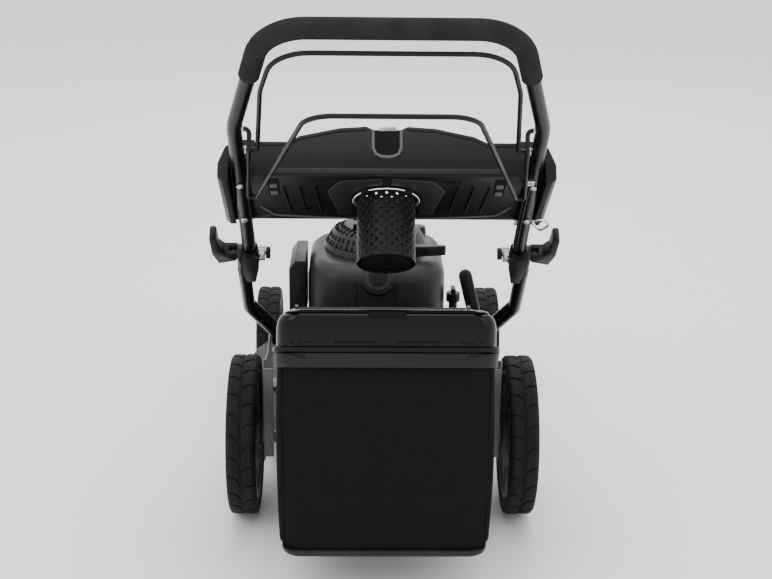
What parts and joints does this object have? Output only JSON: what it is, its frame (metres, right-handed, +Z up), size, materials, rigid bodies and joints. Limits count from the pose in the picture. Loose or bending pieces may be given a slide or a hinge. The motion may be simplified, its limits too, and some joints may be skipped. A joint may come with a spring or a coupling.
{
  "type": "push lawn mower",
  "caption": "Walk-behind petrol lawn mower with a rear grass bag, folding handle with two bails, tray and cup basket, and large rear wheels.",
  "frame": {"origin": "on the ground, in the middle of the footprint of the whole mower", "axes": "+X to the operator's right, +Y forward, in the mowing direction, +Z up"},
  "size_m": [0.562, 1.207, 0.9268],
  "materials": {
    "deck_paint": "satin",
    "bracket_steel": "satin",
    "tube_paint": "semi-gloss powder coat",
    "bail_paint": "semi-gloss",
    "grip_foam": "matt foam",
    "tyre_rubber": "matt moulded",
    "rim_plastic": "satin moulded",
    "trim_plastic": "fine grain",
    "hood_plastic": "satin",
    "lid_plastic": "gloss",
    "pan_plastic": "satin",
    "bag_cloth": "woven mesh",
    "cast_alloy": "cast",
    "plain_steel": "machined",
    "zinc_hardware": "zinc plated",
    "chrome_wire": "bright"
  },
  "bodies": {
    "chassis": {"deck_shell": "deck_paint", "discharge_chute": "trim_plastic", "door_pin": "zinc_hardware", "rear_axle": "plain_steel", "front_axle": "plain_steel", "drive_gearbox": "cast_alloy", "handle_bracket_left": "bracket_steel", "handle_bracket_right": "bracket_steel", "crankcase": "cast_alloy", "cylinder_head": "cast_alloy", "engine_hood": "hood_plastic", "fan_cover": "hood_plastic", "air_filter_box": "trim_plastic", "muffler": "plain_steel", "spark_plug": "trim_plastic", "oil_filler": "trim_plastic", "lower_handle_left": "tube_paint", "lower_handle_right": "tube_paint", "fold_bolt_left": "zinc_hardware", "fold_bolt_right": "zinc_hardware"},
    "blade_spindle": {"crankshaft": "plain_steel", "flywheel_fan": "cast_alloy", "blade_adapter": "cast_alloy", "blade": "plain_steel", "blade_bolt": "zinc_hardware"},
    "wheel_rear_left": {"tyre_rear_left": "tyre_rubber", "rim_rear_left": "rim_plastic"},
    "wheel_rear_right": {"tyre_rear_right": "tyre_rubber", "rim_rear_right": "rim_plastic"},
    "wheel_front_left": {"tyre_front_left": "tyre_rubber", "rim_front_left": "rim_plastic"},
    "wheel_front_right": {"tyre_front_right": "tyre_rubber", "rim_front_right": "rim_plastic"},
    "handle": {"upper_handle": "tube_paint", "foam_grip": "grip_foam", "knuckle_left": "trim_plastic", "knuckle_right": "trim_plastic", "tray_shell": "trim_plastic", "cup_basket": "trim_plastic", "cup_ring": "chrome_wire", "tray_bolt_lower_left": "zinc_hardware", "tray_bolt_lower_right": "zinc_hardware", "tray_bolt_upper_left": "zinc_hardware", "tray_bolt_upper_right": "zinc_hardware", "rope_guide": "chrome_wire"},
    "drive_bail": {"drive_bail": "bail_paint"},
    "brake_bail": {"brake_bail": "bail_paint"},
    "cam_lever_left": {"cam_lever_left": "trim_plastic"},
    "cam_lever_right": {"cam_lever_right": "trim_plastic"},
    "grass_bag": {"bag_fabric": "bag_cloth", "bag_frame": "trim_plastic", "bag_lid": "lid_plastic", "bag_pan": "pan_plastic"},
    "rear_door": {"rear_door": "trim_plastic"},
    "height_lever": {"height_lever": "zinc_hardware", "height_grip": "trim_plastic"},
    "starter_grip": {"starter_grip": "trim_plastic"},
    "fuel_cap": {"fuel_cap": "trim_plastic"},
    "oil_cap": {"oil_cap": "trim_plastic"}
  },
  "joints": [
    {"name": "wheel_rear_left_spin", "type": "hinge", "parent": "chassis", "child": "wheel_rear_left", "pos_m": [-0.2368, -0.10127, 0.1385], "axis": [1, 0, 0], "continuous": true},
    {"name": "wheel_rear_right_spin", "type": "hinge", "parent": "chassis", "child": "wheel_rear_right", "pos_m": [0.2368, -0.10127, 0.1385], "axis": [1, 0, 0], "continuous": true},
    {"name": "wheel_front_left_spin", "type": "hinge", "parent": "chassis", "child": "wheel_front_left", "pos_m": [-0.2303, 0.50273, 0.10073], "axis": [1, 0, 0], "continuous": true},
    {"name": "wheel_front_right_spin", "type": "hinge", "parent": "chassis", "child": "wheel_front_right", "pos_m": [0.2303, 0.50273, 0.10073], "axis": [1, 0, 0], "continuous": true},
    {"name": "blade_spin", "type": "hinge", "parent": "chassis", "child": "blade_spindle", "pos_m": [-0.008, 0.21673, 0.066], "axis": [0, 0, 1], "continuous": true},
    {"name": "handle_fold", "type": "hinge", "parent": "chassis", "child": "handle", "pos_m": [0, -0.15097, 0.4848], "axis": [1, 0, 0], "range_deg": [-130, 0]},
    {"name": "drive_bail_squeeze", "type": "hinge", "parent": "handle", "child": "drive_bail", "pos_m": [0, -0.36092, 0.70604], "axis": [-1, 0, 0], "range_deg": [0, 3], "stiffness_Nm_per_rad": 1, "springref_deg": -17.19},
    {"name": "brake_bail_squeeze", "type": "hinge", "parent": "handle", "child": "brake_bail", "pos_m": [0, -0.39878, 0.74594], "axis": [-1, 0, 0], "range_deg": [0, 20], "stiffness_Nm_per_rad": 1, "springref_deg": -17.19},
    {"name": "cam_lever_left_turn", "type": "hinge", "parent": "chassis", "child": "cam_lever_left", "pos_m": [-0.249, -0.15097, 0.4848], "axis": [0, -0.7254, -0.6884], "range_deg": [0, 70]},
    {"name": "cam_lever_right_turn", "type": "hinge", "parent": "chassis", "child": "cam_lever_right", "pos_m": [0.249, -0.15097, 0.4848], "axis": [0, 0.7254, 0.6884], "range_deg": [0, 70]},
    {"name": "grass_bag_lift", "type": "slide", "parent": "chassis", "child": "grass_bag", "axis": [0, -0.9367, 0.3502], "range_m": [0, 0.25]},
    {"name": "rear_door_lift", "type": "hinge", "parent": "chassis", "child": "rear_door", "pos_m": [0, -0.08927, 0.36265], "axis": [-1, 0, 0], "range_deg": [0, 50], "stiffness_Nm_per_rad": 0.4, "springref_deg": -28.65},
    {"name": "height_lever_shift", "type": "hinge", "parent": "chassis", "child": "height_lever", "pos_m": [0.172, 0.04873, 0.196], "axis": [1, 0, 0], "range_deg": [-20, 20]},
    {"name": "starter_pull", "type": "slide", "parent": "chassis", "child": "starter_grip", "axis": [1, 0, 0], "range_m": [0, 0.06], "stiffness_N_per_m": 60, "springref_m": -0.02},
    {"name": "fuel_cap_turn", "type": "hinge", "parent": "chassis", "child": "fuel_cap", "pos_m": [0.074, 0.30673, 0.392], "axis": [0, 0, 1], "range_deg": [0, 120]},
    {"name": "oil_cap_turn", "type": "hinge", "parent": "chassis", "child": "oil_cap", "pos_m": [0.136, 0.14673, 0.31], "axis": [0, 0, 1], "range_deg": [0, 120]}
  ]
}
